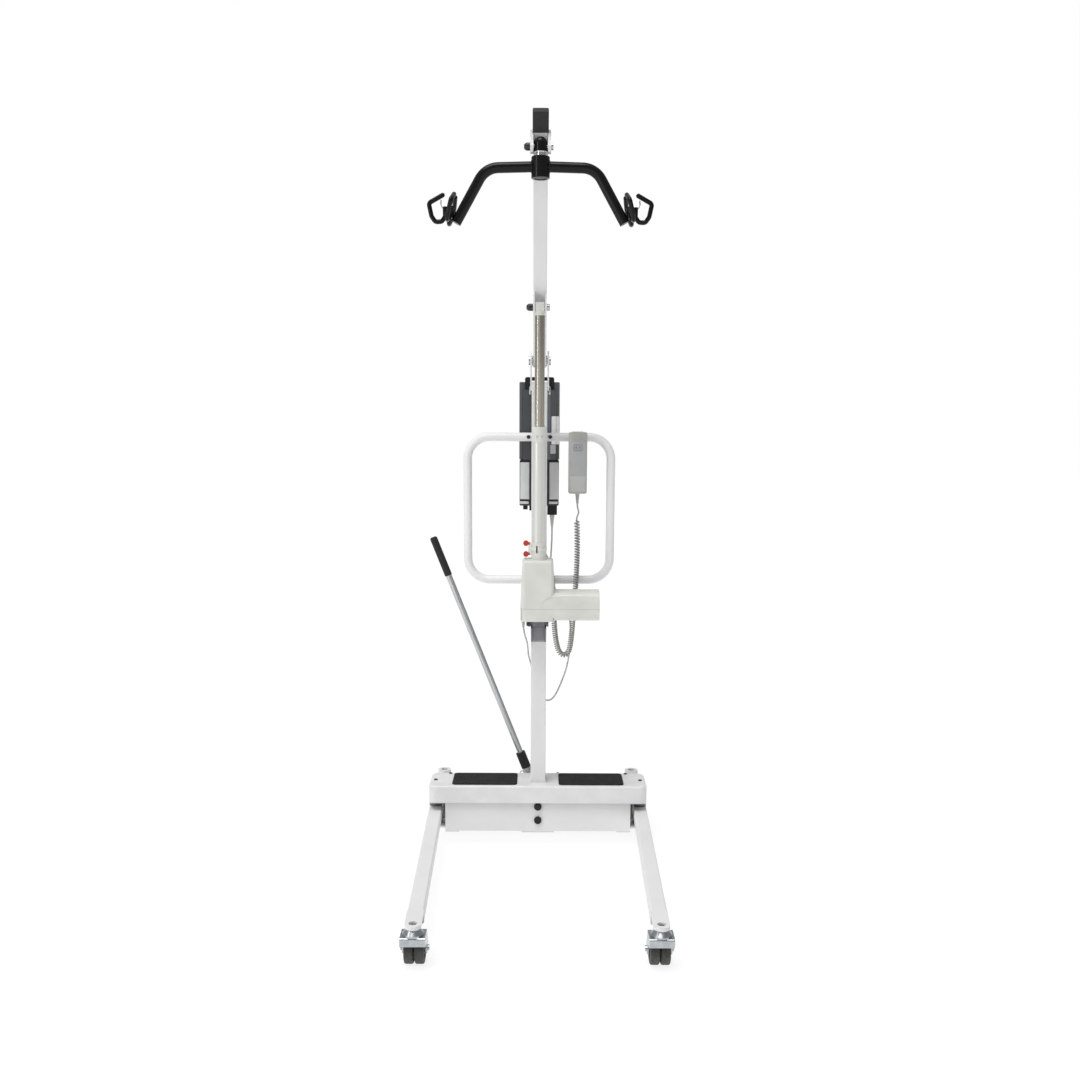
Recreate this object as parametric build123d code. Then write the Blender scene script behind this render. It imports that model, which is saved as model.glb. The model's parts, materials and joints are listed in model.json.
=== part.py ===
from build123d import *
import math
import os

# Electric patient lift hoist, in millimetres.  The hoist stands on z = 0 and its legs reach
# towards -Y.  Everything is drawn with the mast's axis at x = 0, y = 0; save() then moves it
# back by mast_y, so that the origin is the middle of the footprint.
mast_y = 330.3

# Base
cover_half_width = 335
cover_front = -62
cover_rear = 79
cover_bottom = 141
deck_z = 194.5
cover_wall = 3
beam_half_width = 285
beam_half_depth = 50
beam_bottom = 48
beam_top = 137
beam_wall = 4
ear_half_width = 334
pad_inner_x, pad_outer_x = 64, 264
pad_front, pad_rear = -50, 64
pad_thickness = 3.5
screw_x, screw_y = 277, 66

# Legs, each turning on a shaft at the end of the beam
leg_pivot_x = 318
leg_toe_in = 1.69
leg_half_width = 20
leg_bottom, leg_top = 79, 115
leg_tail = 30
leg_tube_end = 772
leg_wall = 2.5
king_distance = 847.5
tongue_bottom = 106
king_hole_radius = 10.5
shaft_radius = 8
arm_length = 45
running_gap = 0.05

# Shift lever behind the cover
lever_lean = 21.6
lever_tube_radius = 9.5
lever_pivot_x, lever_y, lever_pivot_z = -20.1, 103, 162
crank_radius = 19.7
crank_y = 62
rod_pin_radius = 3.5
arm_pin_radius = 4
open_eye_radius = 5.7

# Casters
front_wheel_radius = 38
front_trail = 35
rear_wheel_radius = 50
rear_trail = 28
rear_king_x, rear_king_y = 302, 134
socket_top = 188
stem_radius = 10.9

# Mast, handle and control box
mast_half = 23
mast_wall = 3
mast_bottom = beam_bottom + beam_wall
mast_top = 1412
cheek_outer = 27.5
pivot_z = 1474
bolt_z_upper, bolt_z_lower = 126.5, 83.5
handle_y = 41.5
handle_tube_radius = 13
handle_half_width = 216.5
handle_low, handle_high = 819, 1252
handle_corner = 66
plate_front = handle_y + handle_tube_radius + 0.1
plate_thickness = 4
box_front = plate_front + plate_thickness
box_rear = box_front + 92
box_bottom, box_split, battery_top = 1044, 1183, 1416

# Boom and actuator.  boom_angle is the rise of the boom above the horizontal at rest.
boom_angle = 62
boom_half = 19
boom_wall = 2.5
boom_length = 688
swivel_along, swivel_below = 613, 50
pin_along, pin_below = 185, 55
cheek_inner = 14.4
ear_outer = 27
base_pin_y, base_pin_z = -78, 703
jaw_radius = 6.6

# Spreader bar, measured down from the swivel bolt
hub_top, hub_low, hub_radius = -25, -79, 24
arm_radius = 13.6
cluster_x = 234
hook_bar_radius = 6
hook_tilt = 15
gate_offset = 21.4

os.makedirs("parts", exist_ok=True)


def save(name, shape):
    export_step(Pos(0, mast_y, 0) * shape, f"parts/{name}.step")


def block(x0, x1, y0, y1, z0, z1):
    middle = Pos((x0 + x1) / 2, (y0 + y1) / 2, (z0 + z1) / 2)
    return middle * Box(x1 - x0, y1 - y0, z1 - z0)


def post(radius, z0, z1, x=0, y=0):
    return Pos(x, y, (z0 + z1) / 2) * Cylinder(radius, z1 - z0)


def bar_x(radius, x0, x1, y=0, z=0):
    return Pos((x0 + x1) / 2, y, z) * Rot(0, 90, 0) * Cylinder(radius, x1 - x0)


def bar_y(radius, y0, y1, x=0, z=0):
    return Pos(x, (y0 + y1) / 2, z) * Rot(90, 0, 0) * Cylinder(radius, y1 - y0)


def plate_yz(outline, x0, x1):
    # A plate that is flat in YZ: outline is a list of (y, z) corners.
    face = make_face(Polyline([(x0, y, z) for y, z in outline], close=True))
    return extrude(face, amount=x1 - x0, dir=(1, 0, 0))


def both_sides(shape):
    return shape + mirror(shape, about=Plane.YZ)


def mirrored(shape):
    return mirror(shape, about=Plane.YZ)


def dome_x(radius, x, y, z, outward, height):
    # Domed nut whose flat side stands at x and whose dome points along outward (+1 or -1).
    ball = Pos(x, y, z) * Sphere(radius)
    half = block(min(x, x + outward * radius), max(x, x + outward * radius),
                 y - radius, y + radius, z - radius, z + radius)
    squeezed = scale(ball & half, by=1)
    keep = block(min(x, x + outward * height), max(x, x + outward * height),
                 y - radius, y + radius, z - radius, z + radius)
    return squeezed & keep


# --- Base ------------------------------------------------------------------------------------

def make_base_beam():
    tube = block(-beam_half_width, beam_half_width, -beam_half_depth, beam_half_depth,
                 beam_bottom, beam_top)
    tube -= block(-beam_half_width, beam_half_width, -beam_half_depth + beam_wall,
                  beam_half_depth - beam_wall, beam_bottom + beam_wall, beam_top - beam_wall)
    sleeve = block(-28, 28, -28, 28, mast_bottom, beam_top)
    ear = block(beam_half_width - 12, ear_half_width, -38, 38, beam_top - 6, beam_top)
    ear += block(beam_half_width - 12, ear_half_width - 2, -34, 34, 52, 58)
    bracket = block(268, 334, beam_half_depth - 1, rear_king_y, 128, 136)
    socket = post(21, 128, socket_top, rear_king_x, rear_king_y)
    screw_post = post(5.5, 130, deck_z - cover_wall, screw_x, screw_y)
    screw_post -= post(2.5, deck_z - 8, deck_z, screw_x, screw_y)
    tab = block(243, beam_half_width, -48, 0, beam_bottom - 4, beam_bottom)
    side = ear + bracket + socket + screw_post + tab
    side -= post(shaft_radius + running_gap, 40, 150, leg_pivot_x, 0)
    side -= post(stem_radius + 0.1, 120, 200, rear_king_x, rear_king_y)
    foot_plate = block(-50, 50, -beam_half_depth + 2, 30, beam_bottom - 5, beam_bottom)
    frame = tube + sleeve + foot_plate + both_sides(side)
    frame -= block(-mast_half, mast_half, -mast_half, mast_half, mast_bottom, 200)
    for z in (bolt_z_upper, bolt_z_lower):
        frame -= bar_y(5, -60, 60, 0, z)
    return frame


def rounded_box(half_x, y0, y1, z0, z1, corner, edge):
    body = block(-half_x, half_x, y0, y1, z0, z1)
    body = fillet(body.edges().filter_by(Axis.Z), corner)
    if edge:
        body = fillet(body.edges().group_by(Axis.Z)[-1], edge)
    return body


def make_base_cover():
    outer = rounded_box(cover_half_width, cover_front, cover_rear, cover_bottom, deck_z, 24, 6)
    inner = rounded_box(cover_half_width - cover_wall, cover_front + cover_wall,
                        cover_rear - cover_wall, cover_bottom - 5, deck_z - cover_wall, 21, 3)
    cover = outer - inner
    collar = mast_half + 2
    cover += block(-collar, collar, -collar, collar, deck_z - 1, deck_z + 8)
    cover -= block(-mast_half, mast_half, -mast_half, mast_half, 100, 260)
    for side in (-1, 1):
        cover -= post(5.6, 180, 200, side * leg_pivot_x, 0)
        cover -= post(2.5, 180, 200, side * screw_x, screw_y)
    cover -= bar_y(10, cover_rear - 10, cover_rear + 10, lever_pivot_x, lever_pivot_z)
    return cover


def make_foot_pads():
    pad = block(pad_inner_x, pad_outer_x, pad_front, pad_rear, deck_z, deck_z + pad_thickness)
    pad = fillet(pad.edges().filter_by(Axis.Z), 12)
    pad = fillet(pad.edges().group_by(Axis.Z)[-1], 1.5)
    return both_sides(pad)


def make_base_fasteners():
    screw = post(2.5, deck_z - 8, deck_z, screw_x, screw_y)
    screw += post(5, deck_z, deck_z + 2.5, screw_x, screw_y)
    stem = post(stem_radius, 113.9, 176, rear_king_x, rear_king_y)
    stem += post(15, 108, 113.9, rear_king_x, rear_king_y)
    solids = [screw, mirrored(screw), stem, mirrored(stem)]
    for z in (bolt_z_upper, bolt_z_lower):
        bolt = bar_y(5, -beam_half_depth, beam_half_depth + 9, 0, z)
        bolt += bar_y(8, -beam_half_depth - 6, -beam_half_depth, 0, z)
        bolt += bar_y(8.5, beam_half_depth, beam_half_depth + 8, 0, z)
        solids.append(bolt)
    return Compound(solids)


def make_base_plugs():
    solids = []
    for z in (bolt_z_upper, bolt_z_lower):
        cap = bar_y(11.5, -beam_half_depth - 9, -beam_half_depth, 0, z)
        cap = fillet(cap.edges().group_by(Axis.Y)[0], 4)
        cap -= bar_y(8, -beam_half_depth - 6, -beam_half_depth, 0, z)
        solids.append(cap)
    stop = bar_y(8, cover_rear, cover_rear + 14, 63, 184)
    solids.append(fillet(stop.edges().group_by(Axis.Y)[-1], 3))
    return Compound(solids)


def make_leg_bushings():
    washer = post(20, leg_top, beam_top - 6, leg_pivot_x, 0)
    washer += post(20, 58, leg_bottom, leg_pivot_x, 0)
    washer -= post(shaft_radius + running_gap, 50, 150, leg_pivot_x, 0)
    return both_sides(washer)


def make_lever_bracket():
    x0, x1 = lever_pivot_x - 24, lever_pivot_x + 24
    bracket = block(x0, x1, cover_rear + 1, cover_rear + 6, 106, lever_pivot_z + 18)
    bracket = fillet(bracket.edges().filter_by(Axis.Y).group_by(Axis.Z)[-1], 17)
    bracket += block(x0, x1, beam_half_depth, cover_rear + 2, 106, 112)
    bracket -= bar_y(shaft_radius + running_gap, 70, 100, lever_pivot_x, lever_pivot_z)
    return bracket


# --- Legs ------------------------------------------------------------------------------------

def leg_place(side):
    # Moves a piece drawn with the leg's shaft at the origin; side is -1 (left) or 1 (right).
    return Pos(side * leg_pivot_x, 0, 0) * Rot(0, 0, -side * leg_toe_in)


def make_leg():
    half = leg_half_width
    tube = block(-half, half, -leg_tube_end, leg_tail, leg_bottom, leg_top)
    tube = fillet(tube.edges().filter_by(Axis.Y), 4)
    bore = block(-half + leg_wall, half - leg_wall, -leg_tube_end + 3, leg_tail - 3,
                 leg_bottom + leg_wall, leg_top - leg_wall)
    tongue = block(-half, half, -king_distance - 2, -leg_tube_end + 1, tongue_bottom, leg_top)
    tongue += post(half, tongue_bottom, leg_top, 0, -king_distance - 2)
    wedge = plate_yz([(-leg_tube_end, leg_bottom + 2), (-leg_tube_end, tongue_bottom),
                      (-leg_tube_end - 16, tongue_bottom)], -half + 4, half - 4)
    leg = tube - bore + tongue + wedge
    leg -= post(shaft_radius, 60, 130)
    leg -= post(king_hole_radius, tongue_bottom + 3, leg_top + 1, 0, -king_distance)
    leg -= post(6.05, tongue_bottom - 1, leg_top, 0, -king_distance)
    return leg


def make_leg_arm(side):
    shaft = post(shaft_radius, 46, 186) + post(5.5, 186, deck_z + 2.5)
    shaft += post(12, 44, 52)
    z0 = 163 if side < 0 else 148
    z1 = z0 + 7
    arm = post(13, z0, z1) + block(-7, 7, 0, arm_length, z0, z1) + post(9, z0, z1, 0, arm_length)
    pin_z0, pin_z1 = (z1, 187) if side < 0 else (139, z0)
    arm += post(arm_pin_radius, pin_z0, pin_z1, 0, arm_length)
    return Pos(side * leg_pivot_x, 0, 0) * (shaft + arm)


# --- Shift lever -----------------------------------------------------------------------------

lever_place = Pos(lever_pivot_x, lever_y, lever_pivot_z) * Rot(0, -lever_lean, 0)
sleeve_low, sleeve_high = 47, 100
grip_low, grip_high = 711, 840


def make_shift_lever():
    tube = post(lever_tube_radius, 18, grip_high - 4)
    return lever_place * (tube - post(lever_tube_radius - 2, 18, grip_high - 4))


def make_lever_grips():
    sleeve = post(15, sleeve_low, sleeve_high)
    sleeve = fillet(sleeve.edges().group_by(Axis.Z)[-1], 2)
    grip = post(11.5, grip_low, grip_high)
    grip = fillet(grip.edges().group_by(Axis.Z)[-1], 6)
    grip = fillet(grip.edges().group_by(Axis.Z)[0], 2)
    core = post(lever_tube_radius, 0, grip_high - 4)
    return Compound([lever_place * (sleeve - core), lever_place * (grip - core)])


def make_lever_socket():
    block_body = post(14.5, -16, sleeve_low) - post(lever_tube_radius, 18, sleeve_low)
    shaft_start = crank_y + 3 - lever_y
    body = block_body + bar_y(shaft_radius, shaft_start, 2)
    crank = block(-8, 8, shaft_start, shaft_start + 6, -crank_radius, crank_radius)
    crank += bar_y(8, shaft_start, shaft_start + 6, 0, crank_radius)
    crank += bar_y(8, shaft_start, shaft_start + 6, 0, -crank_radius)
    for z in (-crank_radius, crank_radius):
        crank += bar_y(rod_pin_radius, shaft_start - 8, shaft_start, 0, z)
    loop = bar_y(7, -1.2, 1.2, -20, 34) - bar_y(4.6, -1.2, 1.2, -20, 34)
    return lever_place * (body + crank + loop)


def make_tie_rod(side):
    # The left rod hangs on the crank's upper pin and the right one on its lower pin.
    lean = math.radians(lever_lean)
    up = -side
    start = Vector(lever_pivot_x - up * crank_radius * math.sin(lean), crank_y - 1,
                   lever_pivot_z + up * crank_radius * math.cos(lean))
    end = Vector(side * leg_pivot_x, arm_length, start.Z)
    run = end - start
    direction = run.normalized()
    middle = start + run * 0.5
    length = run.length - 12
    bar = Plane(origin=middle, z_dir=direction) * Cylinder(4, length)
    near_eye = bar_y(7.5, start.Y - 3, start.Y + 3, start.X, start.Z)
    far_eye = post(10.5, start.Z - 2.5, start.Z + 2.5, end.X, end.Y)
    rod = bar + near_eye + far_eye
    rod -= bar_y(rod_pin_radius + running_gap, start.Y - 9, start.Y + 9, start.X, start.Z)
    rod -= post(open_eye_radius, start.Z - 6, start.Z + 6, end.X, end.Y)
    return rod


# --- Casters ---------------------------------------------------------------------------------

def front_king(side):
    toe = math.radians(leg_toe_in)
    return (side * (leg_pivot_x - king_distance * math.sin(toe)),
            -king_distance * math.cos(toe))


def make_front_fork(side):
    x, y = front_king(side)
    stem = post(6, 88, 113) + post(8, tongue_bottom + 3, 112)
    race = Pos(0, 0, 92) * extrude(Circle(25.5), amount=13.7, taper=38)
    race += post(25.5, 88, 92)
    outline = [(-24, 88), (28, 88), (50, 44), (46, 28), (35, 24), (24, 28), (20, 44),
               (6, 58), (-12, 62), (-24, 66)]
    shell = plate_yz(outline, -30, 30)
    shell = fillet(shell.edges().filter_by(Axis.X).group_by(Axis.Y)[0], 5)
    inside = block(-26.5, 26.5, -20.5, 60, 0, 83)
    fork = stem + race + (shell - inside)
    axle = bar_x(4, -30, 30, front_trail, front_wheel_radius)
    axle += bar_x(7, 30, 34.5, front_trail, front_wheel_radius)
    axle += bar_x(7, -34.5, -30, front_trail, front_wheel_radius)
    fork -= bar_x(4, -40, 40, front_trail, front_wheel_radius)
    return Compound([Pos(x, y, 0) * fork, Pos(x, y, 0) * axle])


def make_front_wheels(side):
    x, y = front_king(side)
    wheels = []
    for x0, x1 in ((-24.3, -1.5), (1.5, 24.3)):
        tyre = bar_x(front_wheel_radius, x0, x1, front_trail, front_wheel_radius)
        tyre = fillet(tyre.edges(), 5)
        rim = (x0 if x0 < 0 else x1 - 3, x0 + 3 if x0 < 0 else x1)
        tyre -= bar_x(25, rim[0], rim[1], front_trail, front_wheel_radius)
        tyre += bar_x(10, rim[0], rim[1], front_trail, front_wheel_radius)
        tyre -= bar_x(4 + running_gap, x0 - 1, x1 + 1, front_trail, front_wheel_radius)
        wheels.append(Pos(x, y, 0) * tyre)
    return Compound(wheels)


def rear_place(side):
    return Pos(side * rear_king_x, rear_king_y, 0)


def make_rear_fork(side):
    race = post(24, 120, 127.8) - post(stem_radius + 0.05, 110, 130)
    race = fillet(race.edges().group_by(Axis.Z)[-1].sort_by(SortBy.LENGTH)[-1], 3)
    outline = [(-26, 120), (44, 120), (52, 108), (50, 98), (44, 50), (38, 38), (28, 34),
               (18, 38), (12, 50), (-20, 104)]
    shell = plate_yz(outline, -20.5, 20.5)
    shell -= block(-17, 17, -40, 70, 0, 114)
    shell -= post(stem_radius + 0.05, 110, 130)
    shell -= bar_x(5, -30, 30, rear_trail, rear_wheel_radius)
    shell -= bar_x(3, -30, 30, 42, 107)
    axle = bar_x(5, -20.5, 20.5, rear_trail, rear_wheel_radius)
    axle += bar_x(9, 20.5, 25, rear_trail, rear_wheel_radius)
    axle += bar_x(9, -25, -20.5, rear_trail, rear_wheel_radius)
    pedal_pin = bar_x(3, -21.5, 21.5, 42, 107)
    place = rear_place(side)
    return Compound([place * (race + shell), place * axle, place * pedal_pin])


def make_rear_wheel(side):
    radius = rear_wheel_radius
    tyre = bar_x(radius, -14, 14, rear_trail, radius)
    tyre = fillet(tyre.edges(), 7)
    tyre -= bar_x(34, -14, 14, rear_trail, radius)
    hub = bar_x(34, -9, 9, rear_trail, radius) - bar_x(29, 5, 9, rear_trail, radius)
    hub -= bar_x(29, -9, -5, rear_trail, radius)
    hub += bar_x(12, -15, 15, rear_trail, radius)
    hub -= bar_x(5 + running_gap, -20, 20, rear_trail, radius)
    place = rear_place(side)
    return Compound([place * tyre, place * hub])


def make_brake_pedal(side):
    body = block(-16.5, 16.5, 34, 54, 102.5, 111.5)
    body += block(-19, 19, 53, 75, 100, 106)
    body = fillet(body.edges().filter_by(Axis.Z).group_by(Axis.Y)[-1], 8)
    body -= bar_x(3 + running_gap, -30, 30, 42, 107)
    return rear_place(side) * body


# --- Mast, handle and control box --------------------------------------------------------------

def make_mast():
    tube = block(-mast_half, mast_half, -mast_half, mast_half, mast_bottom, mast_top)
    inner = mast_half - mast_wall
    tube = fillet(tube.edges().filter_by(Axis.Z), 3)
    tube -= block(-inner, inner, -inner, inner, mast_bottom, mast_top - 4)
    outline = [(-mast_half, 1400), (-17, 1388), (17, 1388), (mast_half, 1400),
               (28, pivot_z), (-28, pivot_z)]
    cheek = plate_yz(outline, mast_half, cheek_outer)
    cheek += bar_x(28, mast_half, cheek_outer, 0, pivot_z)
    cheek = both_sides(cheek)
    mast = tube + cheek
    mast -= bar_x(8, -40, 40, 0, pivot_z)
    # Jaws for the actuator's lower pin.  They are open forwards and low on top, for its path.
    y, z = base_pin_y, base_pin_z
    side_plate = plate_yz([(-mast_half + 1, 636), (-58, 660), (y - 15, z - 30), (y - 15, z + 2.5),
                           (-46, z + 2.5), (-34, z + 11), (-mast_half + 1, 726)], 19, mast_half)
    slot = bar_x(jaw_radius, 0, 40, y, z)
    slot += plate_yz([(y, z - jaw_radius), (y - 20, z - jaw_radius - 9), (y - 20, z + 20),
                      (y, z + 20)], 0, 40)
    channel = both_sides(side_plate - slot)
    channel += block(-mast_half, mast_half, -mast_half - 3, -mast_half, 640, 712)
    mast += channel
    for z in (handle_low, handle_high):
        saddle = block(-18, 18, mast_half - 1, handle_y, z - 14.5, z + 14.5)
        mast += saddle - bar_x(handle_tube_radius, -30, 30, handle_y, z)
    for z in (bolt_z_upper, bolt_z_lower):
        mast -= bar_y(5, -60, 60, 0, z)
    return mast


def make_mast_fasteners():
    pivot_bolt = bar_x(8, -cheek_outer, cheek_outer, 0, pivot_z)
    pivot_bolt += bar_x(12, cheek_outer, cheek_outer + 5, 0, pivot_z)
    pivot_bolt += bar_x(12, -cheek_outer - 5, -cheek_outer, 0, pivot_z)
    solids = [pivot_bolt]
    for x in (-32.5, 32.5):
        head_y = handle_y - handle_tube_radius - 1
        screw = bar_y(3, head_y, box_front, x, handle_high)
        screw += bar_y(5.5, head_y - 3, head_y, x, handle_high)
        solids.append(screw)
    return Compound(solids)


def make_handle_loop():
    low, high, half, r = handle_low, handle_high, handle_half_width, handle_corner
    centre = Rectangle(2 * half, high - low)
    wire = fillet(centre.vertices(), r).wire()
    path = Pos(0, handle_y, (low + high) / 2) * Rot(90, 0, 0) * wire
    start = path @ 0
    tangent = path % 0
    outer = sweep(Plane(origin=start, z_dir=tangent) * Circle(handle_tube_radius), path)
    inner = sweep(Plane(origin=start, z_dir=tangent) * Circle(handle_tube_radius - 2), path)
    loop = outer - inner
    for x in (-32.5, 32.5):
        loop -= bar_y(3, 0, 80, x, handle_high)
        loop -= bar_y(6, 0, handle_y - handle_tube_radius + 1.5, x, handle_high)
    return loop


def make_box_plate():
    plate = block(-50, 50, plate_front, box_front, 1062, 1392)
    plate = fillet(plate.edges().filter_by(Axis.Y), 8)
    plate += block(-17, 17, mast_half, plate_front + 1, 1068, 1104)
    for x in (-32.5, 32.5):
        plate -= bar_y(3, 0, 80, x, handle_high)
    return plate


def hollow_case(half_x, y0, y1, z0, z1, corner, wall):
    body = block(-half_x, half_x, y0, y1, z0, z1)
    body = fillet(body.edges().filter_by(Axis.Z), corner)
    body = fillet(body.edges().group_by(Axis.Z)[-1] + body.edges().group_by(Axis.Z)[0], 3)
    inside = block(-half_x + wall, half_x - wall, y0 + wall, y1 - wall, z0 + wall, z1 - wall)
    return body - inside


def make_control_box():
    case = hollow_case(60, box_front, box_rear, box_bottom, box_split - 0.5, 9, 3)
    rail = block(-14, 14, box_front, box_front + 3, box_split - 1, battery_top - 26)
    case += rail
    case -= bar_y(9.5, box_rear - 6, box_rear + 2, 28, 1130)
    return case


battery_front = box_front + 3.5


def make_battery():
    return hollow_case(61, battery_front, box_rear + 2, box_split + 1, battery_top, 9, 3)


def make_battery_handle():
    # A hoop whose two legs stand down in front of the case.
    grip = block(-44, 44, battery_front - 8, battery_front, battery_top - 21, battery_top + 14)
    grip += block(-44, 44, battery_front - 8, box_rear - 40, battery_top, battery_top + 14)
    grip = fillet(grip.edges().filter_by(Axis.Y).group_by(Axis.Z)[-1], 6)
    grip -= block(-24, 24, battery_front - 20, box_rear, battery_top - 30, battery_top + 6)
    return grip


def make_stop_button():
    stem = bar_y(9, box_rear - 2.5, box_rear + 8, 28, 1130)
    head = bar_y(16, box_rear + 8, box_rear + 18, 28, 1130)
    return stem + fillet(head.edges().group_by(Axis.Y)[-1], 4)


plug_y = 76
motor_plug_x, coil_plug_x = 40, -4
relief_low, relief_top = 976, 1016


def make_box_plugs():
    motor_plug = block(25, 55, plug_y - 12, plug_y + 12, relief_top, box_bottom)
    motor_plug = fillet(motor_plug.edges().filter_by(Axis.Z), 4)
    relief = Pos(motor_plug_x, plug_y, relief_top) * Rot(180, 0, 0) * extrude(
        Circle(8), amount=relief_top - relief_low, taper=7)
    coil_plug = post(9, 1000, box_bottom, coil_plug_x, plug_y)
    coil_plug += post(5, 985, 1001, coil_plug_x, plug_y)
    solids = [motor_plug, relief, coil_plug]
    for x0, x1, low in ((-49, -35, 1032), (-30, -21, 1029)):
        solids.append(block(x0, x1, plug_y - 7, plug_y + 7, low, box_bottom))
    return Compound(solids)


# --- Boom --------------------------------------------------------------------------------------
# Drawn level, pointing along -Y from its pivot at the origin, then raised by boom_angle.

boom_place = Pos(0, 0, pivot_z) * Rot(-boom_angle, 0, 0)


def make_boom():
    half = boom_half
    tube = block(-half, half, -boom_length, 0, -half, half)
    tube = fillet(tube.edges().filter_by(Axis.Y), 3)
    tube += bar_x(half, -half, half) + bar_x(15, -mast_half + 1, mast_half - 1)
    inner = half - boom_wall
    tube -= block(-inner, inner, -boom_length, -24, -inner, inner)
    tube -= bar_x(8 + running_gap, -40, 40)
    return boom_place * tube


def make_boom_sleeve():
    start, end = 640, boom_length + 4
    half = boom_half + 2
    sleeve = block(-half, half, -end, -start, -half, half)
    sleeve = fillet(sleeve.edges().filter_by(Axis.Y), 4)
    sleeve = fillet(sleeve.edges().group_by(Axis.Y)[0], 3)
    core = block(-boom_half, boom_half, -boom_length, -start, -boom_half, boom_half)
    core = fillet(core.edges().filter_by(Axis.Y), 3)
    return boom_place * (sleeve - core)


def make_boom_brackets():
    half = boom_half
    # The actuator's bracket: two cheeks under the boom.
    y = -pin_along
    outline = [(y - 34, -half), (y - 12, -pin_below - 12), (y + 12, -pin_below - 12),
               (y + 34, -half)]
    cheek = plate_yz(outline, cheek_inner, half)
    cheek -= bar_x(6, 0, 40, y, -pin_below)
    # The swivel's clevis: two cheeks outside the boom.
    s = -swivel_along
    ear = block(half, ear_outer, s - 26, s + 26, -half, half)
    ear += plate_yz([(s - 26, -half), (s + 26, -half), (s + 17, -swivel_below - 6),
                     (s + 8, -swivel_below - 17), (s - 8, -swivel_below - 17),
                     (s - 17, -swivel_below - 6)], half, ear_outer)
    ear -= bar_x(6, 0, 40, s, -swivel_below)
    return boom_place * Compound([cheek, mirrored(cheek), ear, mirrored(ear)])


def make_boom_fasteners():
    y, z = -swivel_along, -swivel_below
    bolt = bar_x(6, -ear_outer, ear_outer, y, z)
    bolt += bar_x(9, ear_outer, ear_outer + 6, y, z)
    bolt += bar_x(10, -ear_outer - 7, -ear_outer, y, z) + dome_x(10, -ear_outer - 7, y, z, -1, 9)
    spacer = bar_x(10, 18.2, boom_half, y, z) - bar_x(6, 0, 40, y, z)
    y, z = -pin_along, -pin_below
    edge = boom_half
    pin = bar_x(6, -edge, edge, y, z) + bar_x(9, edge, edge + 9, y, z)
    pin += bar_x(10, -edge - 10, -edge, y, z) + dome_x(10, -edge - 10, y, z, -1, 9)
    return boom_place * Compound([bolt, spacer, mirrored(spacer), pin])


# --- Swivel and spreader -----------------------------------------------------------------------

def boom_point(along, below):
    angle = math.radians(boom_angle)
    return (-along * math.cos(angle) - below * math.sin(angle),
            pivot_z + along * math.sin(angle) - below * math.cos(angle))


swivel_y, swivel_z = boom_point(swivel_along, swivel_below)
swivel_place = Pos(0, swivel_y, swivel_z)


def make_swivel_knuckle():
    body = post(18, -14, 7) + Pos(0, 0, 7) * Sphere(18)
    body = body - post(30, -40, -14)
    neck = post(13, hub_top, -14)
    pin = post(9, hub_low + 1, hub_top) + post(15, hub_low + 1, hub_low + 11)
    return swivel_place * (body + neck + pin - bar_x(6 + running_gap, -30, 30))


def swept_tube(points, radii, radius):
    path = FilletPolyline(*points, radius=radii)
    return sweep(Plane(origin=path @ 0, z_dir=path % 0) * Circle(radius), path)


def spreader_arm():
    return swept_tube([(12, 0, -49.5), (142, 0, -53), (220, 0, -190.6)], 58, arm_radius)


def make_spreader_bar():
    hub = post(hub_radius, hub_low, hub_top)
    hub = fillet(hub.edges(), 2)
    bar = hub + spreader_arm() + mirrored(spreader_arm())
    bar -= post(9 + running_gap, hub_low - 1, hub_top + 1)
    bar -= post(16, hub_low - 1, hub_low + 11.5)
    return swivel_place * bar


def make_hook():
    # Drawn in XZ with the cluster's axis at x = 0; the mouth opens back towards the axis.
    points = [(14, 0, -150), (13.5, 0, -174), (22, 0, -187), (39, 0, -188), (49, 0, -174),
              (56, 0, -141), (20, 0, -121)]
    radii = [8, 10, 10, 16, 9]
    hook = swept_tube(points, radii, hook_bar_radius)
    return hook + Pos(20, 0, -121) * Sphere(hook_bar_radius)


def make_hooks(side):
    # The side hook stands upright; the front and rear ones lean with the arm.
    lean = Pos(0, 0, -165) * Rot(0, -hook_tilt, 0) * Pos(0, 0, 165)
    cluster = post(10, -179, -152) + make_hook()
    for turn in (-90, 90):
        cluster += lean * Rot(0, 0, turn) * make_hook()
    cluster = Pos(cluster_x, 0, 0) * cluster
    cluster -= spreader_arm()
    hooks = cluster.solids().sort_by(SortBy.VOLUME)[-1]
    if side < 0:
        hooks = mirrored(hooks)
    return swivel_place * hooks


def make_gate(side):
    # A wire loop that stands inside the hook's mouth, from the inner leg up to the nose.
    x0 = cluster_x + gate_offset
    wire = 1.1
    gate = bar_y(wire, -7, 7, x0, -152) + bar_y(wire, -5, 5, x0 + 2.5, -134.2)
    for y in (-5, 5):
        gate += swept_tube([(x0, y, -152), (x0 + 3.5, y, -144.5), (x0 + 2.5, y, -134.2)], 5, wire)
    if side < 0:
        gate = mirrored(gate)
    return swivel_place * gate


# --- Actuator ------------------------------------------------------------------------------------
# Drawn upright with its base pin at the origin, then leant towards the boom's pin.

upper_pin_y, upper_pin_z = boom_point(pin_along, pin_below)
actuator_lean = math.degrees(math.atan2(base_pin_y - upper_pin_y, upper_pin_z - base_pin_z))
actuator_length = math.hypot(base_pin_y - upper_pin_y, upper_pin_z - base_pin_z)
actuator_place = Pos(0, base_pin_y, base_pin_z) * Rot(actuator_lean, 0, 0)
case_low, case_split, case_high = 14, 52, 194
case_half_depth = 43
barrel_end = 179
bore_radius = 17.4
collar_top, tube_top, cap_top = 246, 534, 579
rod_low = 505
eye_half = 12


def case_outline(z0, z1):
    # The gearbox and, towards +X, the motor's barrel.
    body = block(-54, 48, -case_half_depth, case_half_depth, z0, z1)
    return fillet(body.edges().filter_by(Axis.Z), 16)


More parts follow.
